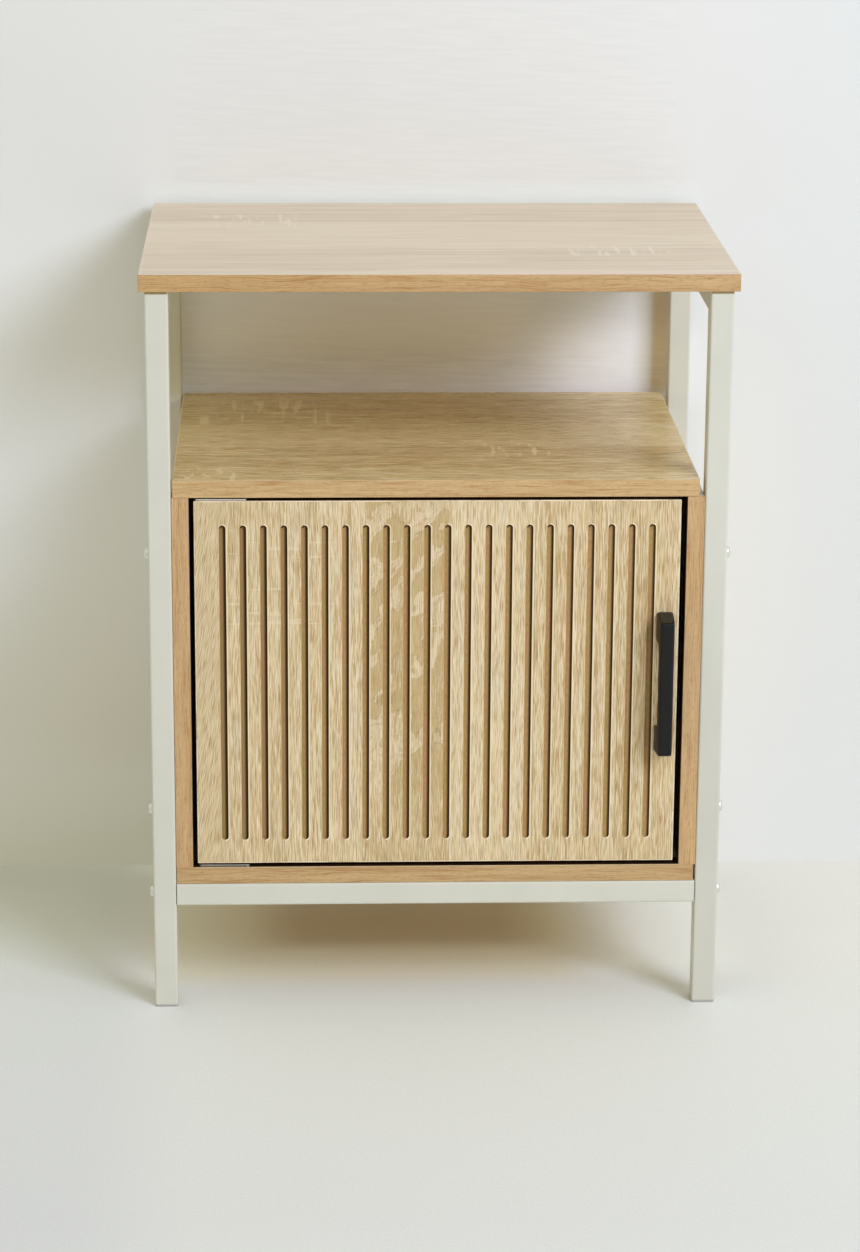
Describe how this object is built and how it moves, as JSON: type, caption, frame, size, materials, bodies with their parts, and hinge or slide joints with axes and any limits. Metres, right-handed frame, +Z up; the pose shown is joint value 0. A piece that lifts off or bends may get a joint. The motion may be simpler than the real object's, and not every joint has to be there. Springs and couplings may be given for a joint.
{
  "type": "storage side table with door",
  "caption": "Narrow side table on a square tube frame: top board, open niche and a cabinet below with a grooved hinged door and a bar handle.",
  "frame": {"origin": "on the floor, in the middle of the table's footprint with the door handle counted in", "axes": "+Z up from the floor; the door faces -Y; +X is to the right of a person who faces the door"},
  "size_m": [0.5, 0.3704, 0.65],
  "materials": {
    "oak_board": "pale washed oak foil, satin",
    "oak_door": "pale oak foil with upright grain, satin",
    "beech_edging": "warm beech edge strip, satin",
    "back_board": "pale printed hardboard, matt",
    "dowel_wood": "plain beech",
    "frame_paint": "cream-grey powder coat, satin",
    "black_handle": "black powder coat, satin",
    "zinc_steel": "zinc-plated steel",
    "cast_zinc": "plain zinc casting",
    "magnet": "dark ceramic magnet",
    "dark_plastic": "black moulded plastic",
    "white_plastic": "white moulded plastic"
  },
  "bodies": {
    "cabinet": {"back_panel": "back_board", "bottom_board": "oak_board", "bottom_board_edging": "beech_edging", "bottom_board_screws": "zinc_steel", "cabinet_screws": "zinc_steel", "cam_bolts": "zinc_steel", "cam_discs": "cast_zinc", "catch_body": "white_plastic", "catch_magnet": "magnet", "catch_pole_plates": "zinc_steel", "catch_screws": "zinc_steel", "dowels": "dowel_wood", "foot_glides": "white_plastic", "front_base_rail": "frame_paint", "hinge_frame_screws": "zinc_steel", "hinge_pins": "zinc_steel", "hinge_washers": "white_plastic", "left_frame_bolts": "zinc_steel", "left_front_leg": "frame_paint", "left_lower_rail": "frame_paint", "left_rear_leg": "frame_paint", "left_side_panel": "oak_board", "left_side_panel_edging": "beech_edging", "left_top_rail": "frame_paint", "lower_hinge_frame_plate": "zinc_steel", "panel_insert_nuts": "zinc_steel", "rail_end_nuts": "dark_plastic", "rear_base_rail": "frame_paint", "right_frame_bolts": "zinc_steel", "right_front_leg": "frame_paint", "right_lower_rail": "frame_paint", "right_rear_leg": "frame_paint", "right_side_panel": "oak_board", "right_side_panel_edging": "beech_edging", "right_top_rail": "frame_paint", "shelf_board": "oak_board", "shelf_board_edging": "beech_edging", "top_board": "oak_board", "top_board_edging": "beech_edging", "top_board_screws": "zinc_steel", "upper_hinge_frame_plate": "zinc_steel"},
    "door": {"door_edging": "beech_edging", "door_handle": "black_handle", "door_panel": "oak_door", "handle_screws": "zinc_steel", "hinge_door_screws": "zinc_steel", "lower_hinge_door_plate": "zinc_steel", "strike_plate": "zinc_steel", "strike_screw": "zinc_steel", "upper_hinge_door_plate": "zinc_steel"}
  },
  "joints": [
    {"name": "door_hinge", "type": "hinge", "parent": "cabinet", "child": "door", "pos_m": [-0.1978, -0.15275, 0.294], "axis": [0, 0, -1], "range_deg": [0, 100]}
  ]
}
